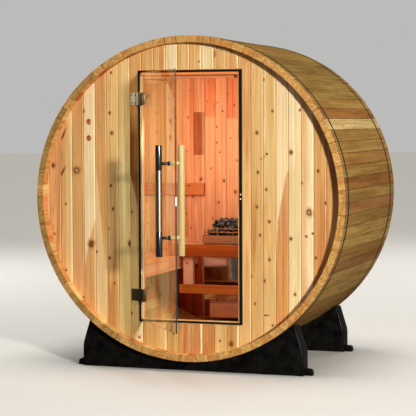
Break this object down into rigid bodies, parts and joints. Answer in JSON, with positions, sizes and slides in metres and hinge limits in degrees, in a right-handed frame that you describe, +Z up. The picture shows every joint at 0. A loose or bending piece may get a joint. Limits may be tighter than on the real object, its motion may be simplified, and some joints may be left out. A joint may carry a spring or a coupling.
{
  "type": "barrel sauna",
  "caption": "Barrel-shaped timber sauna cabin lying on two cradles, with a hinged glass door in its end wall, benches along both sides and a stove with stones at the back.",
  "frame": {"origin": "centre of the four ground-anchor holes, in the plane of the ground", "axes": "+X to the right seen from the doorway end, +Y along the barrel from the doorway end to the rear end, +Z up"},
  "size_m": [1.8328, 1.6813, 1.8914],
  "materials": {
    "stave": "planed cedar, lightly weathered outside",
    "wall_board": "planed knotty cedar",
    "frame_wood": "planed cedar",
    "bench_wood": "planed cedar",
    "seal": "matt black",
    "hinge_steel": "brushed",
    "clamp_steel": "brushed",
    "glass": "clear toughened",
    "handle_steel": "polished",
    "handle_black": "satin black",
    "handle_wood": "smooth",
    "band_steel": "dull",
    "cradle_black": "satin black",
    "heater_steel": "polished sheet",
    "stone": "rough dark stone"
  },
  "bodies": {
    "cabin": {"shell_right": "stave", "shell_upper_right": "stave", "shell_top": "stave", "shell_upper_left": "stave", "shell_left": "stave", "shell_lower_left": "stave", "shell_bottom": "stave", "shell_lower_right": "stave", "front_wall_left": "wall_board", "front_wall_hinge_side": "wall_board", "front_wall_vent_board": "wall_board", "front_wall_right": "wall_board", "front_wall_over_door": "wall_board", "front_wall_under_door": "wall_board", "rear_wall": "wall_board", "door_jambs": "frame_wood", "door_head": "frame_wood", "door_sill": "frame_wood", "inner_casing": "frame_wood", "door_seal": "seal", "catch_keeper": "seal", "hinge_wall_plates": "hinge_steel", "front_band": "band_steel", "rear_band": "band_steel", "front_cradle": "cradle_black", "rear_cradle": "cradle_black", "floor_boards": "bench_wood", "floor_bearers": "bench_wood", "bench_seat_left": "bench_wood", "bench_seat_right": "bench_wood", "bench_fascias": "bench_wood", "bench_cleats": "bench_wood", "backrests": "bench_wood", "guard_rails": "bench_wood", "guard_posts": "bench_wood", "heater_body": "heater_steel", "heater_rim": "heater_steel", "heater_stones": "stone"},
    "door": {"hinge_clamps": "clamp_steel", "door_glass": "glass", "outer_handle_bar": "handle_steel", "outer_handle_grips": "handle_black", "inner_handle": "handle_wood", "catch_plate": "clamp_steel"}
  },
  "joints": [
    {"name": "door_hinge", "type": "hinge", "parent": "cabin", "child": "door", "pos_m": [-0.2775, -0.543, 0.982], "axis": [0, 0, -1], "range_deg": [-51.2, 38.8]}
  ]
}
